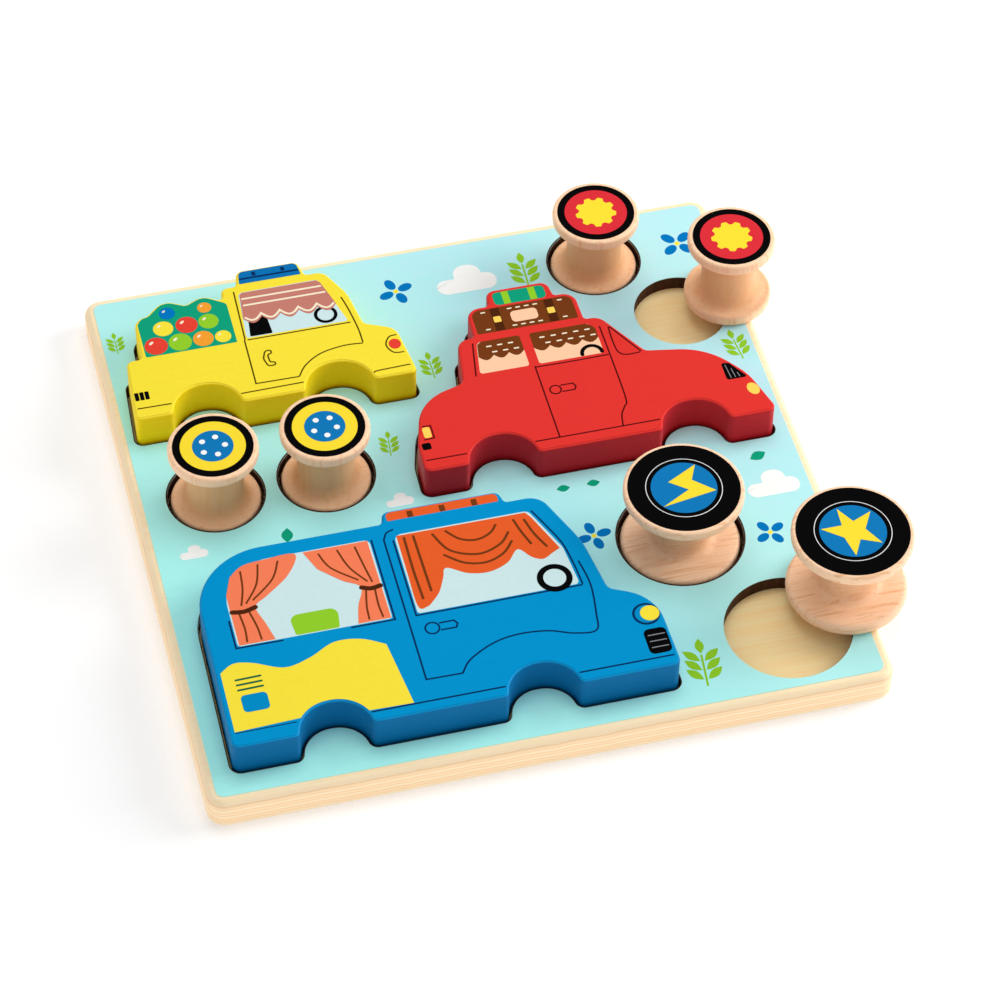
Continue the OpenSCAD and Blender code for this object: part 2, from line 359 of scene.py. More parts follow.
def beechFinish(name, wood, footZ, neckZ):
    finish, tree, shader = newFinish(name, beech["shine"])
    mid, light, blend = wood["mid"], wood["light"], beech["coreBlend"]
    rings = cloudy(tree, stretch=wood["grain"], **beech["rings"])
    body = toneRamp(tree, rings, "Fac", list(zip(beech["ringStops"], (mid, light, light, mid))))
    fibres = cloudy(tree, stretch=wood["grain"], **beech["fibres"])
    body = streaked(tree, fibres, beech["fibreSpan"], beech["fibreShare"], body, mid)
    height = splitUp(tree, inMillimetres(tree), "Vector")
    # painted shade: between the flanges, on the coves and the waist, the wood blends into a darker, warmer
    # tone that stands in for the shade and warm bounce light there
    above = spread(tree, height, "Z", footZ - blend, footZ, 0.0, wood["coreShare"])
    below = spread(tree, height, "Z", neckZ, neckZ + blend, wood["coreShare"], 0.0)
    core = worked(tree, "MINIMUM", (above, "Result"), (below, "Result"))
    body = blendTones(tree, core, 0, body, wood["core"])
    rays = cloudy(tree, stretch=wood["flecks"], **beech["rays"])
    useTone(tree, streaked(tree, rays, beech["raySpan"], wood["fleckShare"], body, wood["dark"]), shader)
    varyGloss(tree, shader, fibres, *beech["rough"])
    addBump(tree, shader, fibres, *beech["bump"])
    return finish


plyBoard = {
    "thickness": 12.0,  # both plates together, mm
    "outerBand": 125.5,  # from the middle; farther out is the board's own edge, mm
    "shine": 0.2, "rough": (0.5, 0.66), "bump": (0.12, 0.0002),
    "fibre": {"scale": 0.7, "stretch": (0.035, 1, 1), "detail": 5.0, "rough": 0.6, "distort": 0.3},
    "fibreStops": (0.35, 0.6),
    "veneer": (srgb(255, 227, 183), srgb(255, 235, 196)),
    "floor": (srgb(255, 222, 156), srgb(255, 233, 176)),
    "plies": 7,
    "plyEnds": (0.02, 0.025, 0.005),  # shares of the thickness: after a glue line, before it, and to it
    "edgeLight": srgb(255, 231, 193),
    "edgeDark": srgb(255, 223, 180),
    "glue": srgb(244, 196, 148),
    "ripple": {"scale": 0.12, "stretch": (1, 1, 0.2), "detail": 2.0}, "sway": 0.3,
    "pores": {"scale": 1.6, "stretch": (1, 1, 0.35), "detail": 3.0},
    "poreSpan": (0.55, 0.72), "poreShare": 0.4,
    "smoke": {"scale": 0.5, "stretch": (1, 1, 0.25), "detail": 3.0}, "smokeStops": (0.35, 0.75),
    "burnt": (srgb(46, 20, 8), srgb(80, 42, 18)),
    "topFacing": (0.75, 0.95),
}


def plyFinish(name, ply, flatTones, burntWalls):
    finish, tree, shader = newFinish(name, ply["shine"])
    fibre = cloudy(tree, **ply["fibre"])
    flat = toneRamp(tree, fibre, "Fac", list(zip(ply["fibreStops"], flatTones)))
    spot = splitUp(tree, inMillimetres(tree), "Vector")
    sway = spread(tree, cloudy(tree, **ply["ripple"]), "Fac", *noiseSpan, -ply["sway"], ply["sway"])
    level = worked(tree, "ADD", (spot, "Z"), (sway, "Result"))
    share = spread(tree, level, 0, 0.0, ply["thickness"], 0.0, 1.0)
    layers = []
    afterGlue, beforeGlue, toGlue = ply["plyEnds"]
    for index in range(ply["plies"]):
        low, high = index / ply["plies"], (index + 1) / ply["plies"]
        tone = ply["edgeLight"] if index % 2 == 0 else ply["edgeDark"]
        layers += [(low + afterGlue, tone), (high - beforeGlue, tone), (high - toGlue, ply["glue"])]
    edge = toneRamp(tree, share, "Result", layers[:-1])
    pores = cloudy(tree, **ply["pores"])
    edge = streaked(tree, pores, ply["poreSpan"], ply["poreShare"], edge, ply["edgeDark"])
    if burntWalls:
        aside, along = (worked(tree, "ABSOLUTE", (spot, axis)) for axis in ("X", "Y"))
        inner = worked(tree, "LESS_THAN", (worked(tree, "MAXIMUM", (aside, 0), (along, 0)), 0))
        inner.inputs[1].default_value = ply["outerBand"]
        smoke = cloudy(tree, **ply["smoke"])
        char = toneRamp(tree, smoke, "Fac", list(zip(ply["smokeStops"], ply["burnt"])))
        edge = blendTones(tree, inner, 0, edge, char)
    upright = worked(tree, "ABSOLUTE", (facing(tree), "Z"))
    top = spread(tree, upright, 0, *ply["topFacing"], 0.0, 1.0)
    useTone(tree, blendTones(tree, top, "Result", edge, flat), shader)
    varyGloss(tree, shader, fibre, *ply["rough"])
    addBump(tree, shader, fibre, *ply["bump"])
    return finish


# tones of the inks, under the slot that they belong to
inkTones = {
    "black_disc": {"black": (2, 2, 3), "grey": (140, 144, 150)},
    "yellow_disc": {"discYellow": (253, 223, 54)},
    "red_disc": {"discRed": (220, 48, 58)},
    "frame_ply": {"rimBrown": (66, 36, 18)},
    "yellow_print": {
        "yellow": (250, 228, 62), "lampYellow": (255, 214, 92), "amber": (245, 160, 50),
        "brownLine": (84, 66, 8),
    },
    "red_print": {
        "red": (232, 66, 52), "orange": (233, 94, 40), "coral": (248, 128, 88), "rose": (198, 126, 112),
        "brown": (116, 58, 22), "darkBrown": (78, 36, 14), "maroonLine": (84, 12, 16),
    },
    "blue_print": {
        "skyBlue": (0, 140, 198), "roofBlue": (10, 112, 178), "discBlue": (16, 120, 184),
        "navyLine": (6, 46, 92), "ventGreen": (14, 100, 68),
    },
    "board_print": {
        "white": (252, 253, 251), "cream": (250, 236, 208), "peach": (255, 204, 166),
        "glass": (206, 232, 234), "teal": (14, 160, 122), "lime": (146, 206, 44), "motifBlue": (0, 118, 192),
    },
}
inks, inkSlots = {}, {}
for slotName, tones in inkTones.items():
    for inkName, tone in tones.items():
        inks[inkName] = inkFinish("ink_" + inkName, srgb(*tone))
        inkSlots[inkName] = slotName


def dressNode(nodeName, finish):
    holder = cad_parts[nodeName]
    if not holder.material_slots:
        holder.data.materials.append(finish)
    for place in holder.material_slots:
        place.material = finish


dressNode("frame_plate", plyFinish("frame_plywood", plyBoard, plyBoard["veneer"], True))
dressNode("base_plate", plyFinish("base_plywood", plyBoard, plyBoard["floor"], False))
dressNode("face_sheet", faceFinish("board_face_print", boardFace))
print("finishes made,", len(inks), "inks")


# outlines, in millimetres

def swung(x, y, angle):
    return x * cos(angle) - y * sin(angle), x * sin(angle) + y * cos(angle)


def leaned(points, x, y, turn):
    return [(x + across, y + along) for across, along in (swung(a, b, radians(turn)) for a, b in points)]


def roundedOutline(corners, step=radians(6)):
    points = []
    for index, (x, y, radius) in enumerate(corners):
        before, after = corners[index - 1], corners[(index + 1) % len(corners)]
        corner = Vector((x, y))
        heading = (corner - Vector(before[:2])).normalized()
        leaving = (Vector(after[:2]) - corner).normalized()
        turn = atan2(heading.x * leaving.y - heading.y * leaving.x, heading.dot(leaving))
        if radius == 0 or abs(turn) < 0.001:
            points.append((x, y))
            continue
        side = 1 if turn > 0 else -1
        start = corner - heading * (radius * tan(abs(turn) / 2))
        centre = start + Vector((-heading.y, heading.x)) * (side * radius)
        arm = start - centre
        pieces = max(2, ceil(abs(turn) / step))
        for k in range(pieces + 1):
            across, along = swung(arm.x, arm.y, turn * k / pieces)
            points.append((centre.x + across, centre.y + along))
    return points


def drawnIn(corners, inset):
    moved = []
    for index, (x, y, radius) in enumerate(corners):
        before, after = corners[index - 1], corners[(index + 1) % len(corners)]
        heading = Vector((x - before[0], y - before[1])).normalized()
        leaving = Vector((after[0] - x, after[1] - y)).normalized()
        first, second = Vector((-heading.y, heading.x)), Vector((-leaving.y, leaving.x))
        shift = (first + second) * (inset / (1 + first.dot(second)))
        convex = heading.x * leaving.y - heading.y * leaving.x > 0
        moved.append((x + shift.x, y + shift.y, radius - inset if convex else radius + inset))
    return moved


def flowing(points, steps=6):
    smooth = []
    last = len(points) - 1
    for index in range(last):
        knots = [Vector(points[max(0, min(last, index + k))]) for k in (-1, 0, 1, 2)]
        for k in range(steps):
            t = k / steps
            spot = 0.5 * (2 * knots[1] + (knots[2] - knots[0]) * t
                          + (2 * knots[0] - 5 * knots[1] + 4 * knots[2] - knots[3]) * t ** 2
                          + (3 * knots[1] - knots[0] - 3 * knots[2] + knots[3]) * t ** 3)
            smooth.append((spot.x, spot.y))
    smooth.append(points[-1])
    return smooth


pen = {"capSteps": 5, "sharpest": 0.35}  # a round end's steps, and how far a sharp bend may reach out


def stroke(points, width):
    spots = [Vector(point) for point in points]
    half = width / 2
    ahead = [(b - a).normalized() for a, b in zip(spots, spots[1:])]
    leftSide, rightSide = [], []
    for index, spot in enumerate(spots):
        into = ahead[max(0, index - 1)]
        out = ahead[min(len(ahead) - 1, index)]
        first, second = Vector((-into.y, into.x)), Vector((-out.y, out.x))
        reach = (first + second) * (half / max(pen["sharpest"], 1 + first.dot(second)))
        leftSide.append(spot + reach)
        rightSide.append(spot - reach)

    def cap(middle, start):
        arm = start - middle
        steps = pen["capSteps"]
        return [middle + Vector(swung(arm.x, arm.y, pi * k / steps)) for k in range(1, steps)]

    around = rightSide + cap(spots[-1], rightSide[-1])
    around += leftSide[::-1] + cap(spots[0], leftSide[0])
    return [(point.x, point.y) for point in around]


def strokes(width, paths):
    return [stroke(points, width) for points in paths]


def oval(x, y, wide, high=None, turn=0.0, count=40):
    high = wide if high is None else high
    around = [(wide * cos(2 * pi * k / count), high * sin(2 * pi * k / count)) for k in range(count)]
    return leaned(around, x, y, turn)


def hoop(x, y, outer, inner, count=40):
    return {"outer": oval(x, y, outer, count=count), "inner": oval(x, y, inner, count=count)}


def bar(x0, y0, x1, y1, radius=0.0):
    return roundedOutline([(x0, y0, radius), (x1, y0, radius), (x1, y1, radius), (x0, y1, radius)])


def leaf(x, y, length, width, turn, steps=10):
    side = [(length * k / steps, width / 2 * sin(pi * k / steps)) for k in range(steps + 1)]
    return leaned([(a, -b) for a, b in side] + side[-2:0:-1], x, y, turn)


def scallops(left, right, y, depth, count, steps=8):
    wide = (right - left) / count
    edge = []
    for lobe in range(count):
        edge += [(left + wide * (lobe + k / steps), y - depth * sin(pi * k / steps)) for k in range(steps)]
    return edge + [(right, y)]


# solid pieces

def openMesh(kind="VERT", action="SELECT"):
    bpy.ops.object.mode_set(mode="EDIT")
    bpy.ops.mesh.select_mode(type=kind)
    bpy.ops.mesh.select_all(action=action)


def closeMesh():
    bpy.ops.object.mode_set(mode="OBJECT")


def pickEdges(piece, wanted):
    openMesh("EDGE", "DESELECT")
    closeMesh()
    for edge in piece.data.edges:
        edge.select = wanted(edge)
    bpy.ops.object.mode_set(mode="EDIT")


def drawnLoop(places, fill="NOTHING"):
    bpy.ops.mesh.primitive_circle_add(vertices=len(places), radius=mm, fill_type=fill)
    made = bpy.context.object
    for vertex, place in zip(made.data.vertices, places):
        vertex.co = place
    return made


def flatSlab(outline, lowZ, fill="NGON"):
    return drawnLoop([(x, y, lowZ) for x, y in outline], fill)


def flatRing(ring, lowZ):
    outer = flatSlab(ring["outer"], lowZ, "NOTHING")
    flatSlab(ring["inner"], lowZ, "NOTHING")
    outer.select_set(True)
    bpy.ops.object.join()
    openMesh()
    bpy.ops.mesh.bridge_edge_loops()
    closeMesh()
    return bpy.context.object


def raisedSlabs(name, outlines, lowZ, highZ):
    bpy.ops.object.select_all(action="DESELECT")
    slabs = []
    for outline in outlines:
        slabs.append(flatRing(outline, lowZ) if isinstance(outline, dict) else flatSlab(outline, lowZ))
        bpy.ops.object.select_all(action="DESELECT")
    for slab in slabs:
        slab.select_set(True)
    bpy.context.view_layer.objects.active = slabs[0]
    if len(slabs) > 1:
        bpy.ops.object.join()
    piece = bpy.context.object
    piece.name = name
    openMesh()
    bpy.ops.mesh.extrude_region_move(TRANSFORM_OT_translate={"value": (0, 0, highZ - lowZ)})
    bpy.ops.mesh.select_all(action="SELECT")
    bpy.ops.mesh.normals_make_consistent(inside=False)
    closeMesh()
    return piece


def settle(piece, bodyName, finish):
    piece.data.materials.clear()
    piece.data.materials.append(finish)
    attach(piece, bodyName)


inkLayer = 0.03 * mm  # each printed layer stands this much higher than the one under it


def printInk(name, bodyName, inkName, layer, outlines, origin, baseZ):
    def put(outline):
        if isinstance(outline, dict):
            return {side: put(points) for side, points in outline.items()}
        return [(origin[0] + x * mm, origin[1] + y * mm) for x, y in outline]

    placed = [put(outline) for outline in outlines]
    piece = raisedSlabs(name, placed, baseZ, baseZ + inkLayer * layer)
    settle(piece, bodyName, inks[inkName])
    return piece


blockMake = {
    "roundOver": 0.8,
    "segments": 5,
    "smoothUnder": 30.0,  # degrees
    "printInset": 0.95,  # ink that follows the outline stays this far inside it
    "archCrown": (10.75, 12.5, 13.1),  # half width, height and radius of a wheel arch
    "archFoot": (13.75, 2.3),  # half width and lip radius where it meets the sill
}


def vehicleCorners(vehicle):
    crownHalf, crownHigh, crownRadius = blockMake["archCrown"]
    footHalf, lipRadius = blockMake["archFoot"]
    sill = [(0, 0, vehicle["sillRadius"])]
    for middle in vehicle["archMiddles"]:
        sill += [(middle - footHalf, 0, lipRadius), (middle - crownHalf, crownHigh, crownRadius),
                 (middle + crownHalf, crownHigh, crownRadius), (middle + footHalf, 0, lipRadius)]
    sill.append((vehicle["length"], 0, vehicle["sillRadius"]))
    return sill + vehicle["upper"]


def insideCorners(vehicle):
    return drawnIn(vehicleCorners(vehicle), blockMake["printInset"])


def vehicleOrigin(name, vehicle):
    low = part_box(name + "_block")[0]
    outline = roundedOutline(vehicleCorners(vehicle))
    return low.x - min(x for x, y in outline) * mm, low.y - min(y for x, y in outline) * mm


def shapedBlock(name, vehicle, origin):
    low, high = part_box(name + "_block")
    outline = [(origin[0] + x * mm, origin[1] + y * mm) for x, y in roundedOutline(vehicleCorners(vehicle))]
    block = raisedSlabs(name + "_body", [outline], low.z, high.z)

    def aroundFace(edge):
        first, second = (block.data.vertices[k].co.z for k in edge.vertices)
        return abs(first - second) < 0.001 * mm

    pickEdges(block, aroundFace)
    bpy.ops.mesh.bevel(offset=blockMake["roundOver"] * mm, segments=blockMake["segments"],
                       profile=0.5, clamp_overlap=False)
    bpy.ops.mesh.select_mode(type="VERT")
    closeMesh()
    bpy.ops.object.shade_smooth_by_angle(angle=radians(blockMake["smoothUnder"]))
    bpy.ops.object.modifier_add(type="WEIGHTED_NORMAL")
    block.modifiers[-1].keep_sharp = True
    bpy.ops.object.modifier_apply(modifier=block.modifiers[-1].name)
    # the wall paint is darker than the print on top: partly painted shade on the walls
    finish = paintFinish(name + "_paint", vehicle["wallTone"], vehicle["topTone"])
    settle(block, name, finish)
    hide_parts(name + "_block")


# the yellow pick-up

truck = {
    "length": 112,
    "sillRadius": 2.38,
    "archMiddles": (28.6, 80.9),
    "paintSlot": "yellow_paint",
    "wallTone": srgb(254, 220, 6),
    "topTone": srgb(250, 228, 60),
    "lineWidth": 0.6,
    "upper": [
        (108.86, 25.2, 7), (96.99, 30.59, 3), (94.42, 48.02, 20.02), (87.47, 62.02, 4.9),
        (79.97, 62.02, 1.6), (78.51, 70, 3.2), (53.54, 70, 3.2), (51.97, 62, 1.6), (45.47, 62, 3),
        (45.47, 55, 1.55), (37.97, 60, 6), (30.46, 56.5, 1.6), (21.95, 60.97, 6.5),
        (14.45, 53.97, 1.6), (8.96, 53, 5.6), (8.18, 31.5, 1.6), (2.02, 31.5, 3),
    ],
    "balls": {
        "red": [(15, 36.7, 4.6), (28.8, 45.3, 4.4)],
        "lime": [(24.6, 36.7, 4.6), (37.6, 45.3, 4)],
        "amber": [(33.8, 36.5, 4.1), (37.4, 53, 2.8)],
        "yellow": [(41.6, 35.9, 3.2), (19.4, 45.3, 4)],
        "motifBlue": [(22.4, 53.2, 3.2)],
    },
    "shine": {"aside": -0.36, "up": 0.4, "wide": 0.24, "high": 0.13,  # shares of a ball's radius
              "turn": 40, "steps": 16},
}


def truckArt(vehicle):
    line, shine = vehicle["lineWidth"], vehicle["shine"]

    def sparkle(x, y, radius):
        return oval(x + shine["aside"] * radius, y + shine["up"] * radius,
                    shine["wide"] * radius, shine["high"] * radius, shine["turn"], shine["steps"])

    edge = insideCorners(vehicle)[-len(vehicle["upper"]):]  # the load and the roof box follow its corners
    heap = roundedOutline(edge[9:15] + [(10, 31.6, 0.4), (46.4, 31.6, 0.4)])
    roofBox = roundedOutline([(53.4, 62.4, 0.4), (78.6, 62.4, 0.4)] + edge[5:7])
    window = roundedOutline([(50.4, 32.8, 1), (91.4, 32.8, 1), (84.3, 57.8, 2.2), (52, 57.8, 2.2)])
    blindEdge = scallops(51.2, 88.7, 43.2, 3, 5)
    blind = blindEdge + [(85, 56), (83.6, 57.5), (53.4, 57.5), (52.3, 56.4)]
    trim = [stroke([(x, y + 1.6) for x, y in blindEdge[1:-1]], 0.9)]
    trim += [stroke([(52.9, y), (right, y)], 0.9) for y, right in ((54, 84.6), (50.4, 85.6))]
    lines = strokes(line, (
        [(49.3, 31.6), (49, 8), (66, 7.8)],
        flowing([(66.3, 8), (70, 13.3), (77, 18), (86.5, 20), (94.2, 19.6)]),
        flowing([(94.4, 20.3), (94.2, 28), (92.8, 39), (91.4, 46)]),
        [(49.6, 32.1), (50.4, 58.6)], [(50.8, 31.7), (91.8, 31.8)],
        [(1.9, 5.5), (14.8, 5.3)], [(42.5, 4.2), (67, 4.5)],
        flowing([(95.2, 3.2), (96.2, 3.7), (103, 4), (109.6, 4.2)]),
        flowing([(107.9, 21), (104.9, 20.4), (102.9, 16.3), (104.9, 12), (108.8, 11.3)])))
    grip = [(55.4, 15.8, 1.4), (58.9, 15.8, 1), (58.9, 18, 1), (57, 18.2, 0.8), (56.8, 22, 0.8),
            (58.6, 22.3, 1), (58.4, 24.6, 1), (55.6, 24.6, 1.8), (54.2, 20.2, 3)]
    handle = {"outer": roundedOutline(grip), "inner": roundedOutline(drawnIn(grip, line))}
    seat = roundedOutline([(52, 33.2, 0.6), (61, 33.2, 0.6), (60.2, 46, 3), (53.4, 46, 3)])
    balls = [spot for group in vehicle["balls"].values() for spot in group]
    art = [
        ("load", "teal", 1, [heap]),
        ("load_shine", "cream", 3, [sparkle(*spot) for spot in balls]),
        ("window", "glass", 1, [window]),
        ("seat", "black", 2, [seat]),
        ("blind", "rose", 3, [blind]),
        ("blind_trim", "cream", 4, trim),
        ("steering", "black", 2, [hoop(83.4, 38.2, 4.7, 3.3)]),
        ("lines", "brownLine", 1, lines),
        ("handle", "brownLine", 2, [handle]),
        ("lamp", "red", 2, [oval(106.4, 16.3, 2.4, 2.7)]),
        ("tail_lamp", "black", 2, [bar(x, 9.6, x + 1.6, 13.8, 0.3) for x in (1.8, 3.8, 5.8)]),
        ("roof_box", "roofBlue", 1, [roofBox]),
        ("roof_straps", "navyLine", 2, [bar(53.8, 64.6, 78.2, 65.5), bar(59.4, 65.9, 60.9, 68),
                                        bar(71.2, 65.9, 72.7, 68)]),
    ]
    return art + [("ball_" + inkName, inkName, 2, [oval(*spot) for spot in spots])
                  for inkName, spots in vehicle["balls"].items()]


# the red car

car = {
    "length": 141,
    "sillRadius": 2.99,
    "archMiddles": (31.2, 108.1),
    "paintSlot": "red_paint",
    "wallTone": srgb(196, 34, 44),
    "topTone": srgb(226, 54, 48),
    "lineWidth": 0.6,
    "upper": [
        (134.94, 21.47, 25.96), (122.53, 38.19, 27.98), (98.98, 42.5, 3), (86, 64.5, 6),
        (79.95, 64.5, 1.6), (79.67, 80, 5.46), (71.49, 80, 1.6), (70.5, 88, 3.8),
        (45.54, 88, 3.8), (44.56, 80, 1.6), (35.39, 80, 5.46), (34.97, 64.5, 1.6),
        (28.2, 64.5, 5), (24.96, 41.98, 3), (6.35, 36.78, 19.98), (0.42, 14.52, 14.08),
    ],
}


def carArt(vehicle):
    line = vehicle["lineWidth"]
    rearWindow = roundedOutline([(32.6, 44.6, 1.2), (52.6, 44.6, 1.2), (52.6, 61.4, 1.6), (35.2, 61.4, 2.4)])
    frontWindow = roundedOutline([(56.6, 44.6, 1.2), (82.8, 44.6, 1.2), (82.8, 58.4, 2.6), (80, 61.4, 2),
                                  (56.6, 61.4, 1.6)])
    rearEdge = scallops(34.2, 52.6, 53.4, 2.2, 3)
    frontEdge = scallops(56.6, 82.8, 53.4, 2.2, 4)
    blinds = [rearEdge + [(52.6, 60.6), (51.8, 61.4), (37, 61.4), (35.2, 60)],
              frontEdge + [(82.8, 58), (82, 59.6), (79.6, 61.4), (57.4, 61.4), (56.6, 60.6)]]
    dashes = []
    for x in (38.4, 42.8, 47.2, 60, 64.6, 69.2, 73.8, 78.4):
        dashes += [bar(x, 57.9, x + 2.2, 58.6, 0.3), bar(x + 1.6, 54.6, x + 3.8, 55.3, 0.3)]
    trunk = roundedOutline([(36.9, 65.4, 0.6), (77.9, 65.4, 0.6), (77.9, 78.2, 3.6), (36.9, 78.2, 3.6)])
    stitches = [bar(x, y, x + 2, y + 0.65, 0.3)
                for y in (66.8, 76.2) for x in (40.6, 51.4, 54.9, 58.4, 61.9, 72)]
    lines = strokes(line, (
        [(54.5, 43.6), (54.5, 5.6)],
        flowing([(84.7, 58.6), (84.8, 40), (84.6, 19), (83, 15), (80.9, 11.2), (79.8, 5.6)]),
        flowing([(55, 43.2), (70, 43), (84.2, 43.2)]),
        flowing([(88, 57.6), (87.7, 50), (88.3, 43.8), (91, 41.6), (96.6, 41.6)]),
        [(88.6, 57.4), (97, 42.2)], [(33.6, 61), (30.8, 44)],
        [(1.8, 5.5), (17.4, 5.4)], [(44.9, 5.3), (94.4, 5.3)],
        [(61.8, 31.6), (66.6, 31.6), (67.4, 29.9), (66.6, 28.2), (61.8, 28.2)],
        [(4.2, 22.9), (7.3, 22.8), (7.4, 16.2), (3.4, 16)]))
    lines.append(hoop(59.2, 29.8, 2.5, 1.9))
    grille = roundedOutline([(125.8, 19.2, 1), (134.1, 19.2, 0.7), (128.9, 27.7, 1), (125.8, 28.4, 1)])
    wheelArc = [leaned([(4, 0)], 78.2, 45.4, turn)[0] for turn in range(0, 181, 12)]
    return [
        ("windows", "peach", 1, [rearWindow, frontWindow]),
        ("blinds", "brown", 2, blinds),
        ("blind_stitches", "cream", 3, dashes),
        ("steering", "black", 2, [stroke(wheelArc, 1.6)]),
        ("trunk", "brown", 1, [trunk]),
        ("trunk_straps", "darkBrown", 2, [bar(x, 65.6, x + 3.6, 78) for x in (44.6, 66.6)]),
        ("trunk_buckles", "lampYellow", 3, [bar(x, 70.2, x + 3, 73.4, 0.5) for x in (44.9, 66.9)]),
        ("trunk_stitches", "cream", 2, stitches),
        ("trunk_label", "peach", 2, [bar(52, 68.8, 62.8, 74.8, 1.8)]),
        ("roll", "teal", 1, [bar(47.4, 79.2, 68.6, 86.2, 2)]),
        ("roll_bands", "lime", 2, [bar(x, 79.3, x + 2.8, 86.1) for x in (51.2, 62)]),
        ("lines", "maroonLine", 1, lines),
        ("grille", "black", 2, [grille]),
        ("grille_bars", "grey", 3, [stroke([(x, 20), (x - 0.5, 27.0 - 2.4 * k)], 0.3)
                                    for k, x in enumerate((127.6, 129.4, 131.2))]),
        ("lamp", "lampYellow", 2, [oval(134.4, 12.5, 2.3, 3.2, 14)]),
        ("tail_lamp", "lampYellow", 2, [bar(3.7, 16.7, 6.7, 22.2, 1)]),
        ("tail_block", "black", 2, [bar(1.7, 10.8, 5.2, 14.2, 0.8)]),
    ]


# the blue van

van = {
    "length": 168,
    "sillRadius": 3.3,
    "archMiddles": (38.5, 116.3),
    "paintSlot": "blue_paint",
    "wallTone": srgb(0, 108, 166),
    "topTone": srgb(0, 146, 206),
    "lineWidth": 0.7,
    "upper": [
        (167.16, 33.56, 18.04), (151.03, 41.32, 3.98), (147.67, 65.96, 39.96), (137.42, 91.37, 7.95),
        (123.98, 91.37, 1.65), (122.47, 97, 3), (77.45, 97, 3), (75.94, 91.37, 1.65),
        (1.51, 91.37, 28.1),
    ],
}


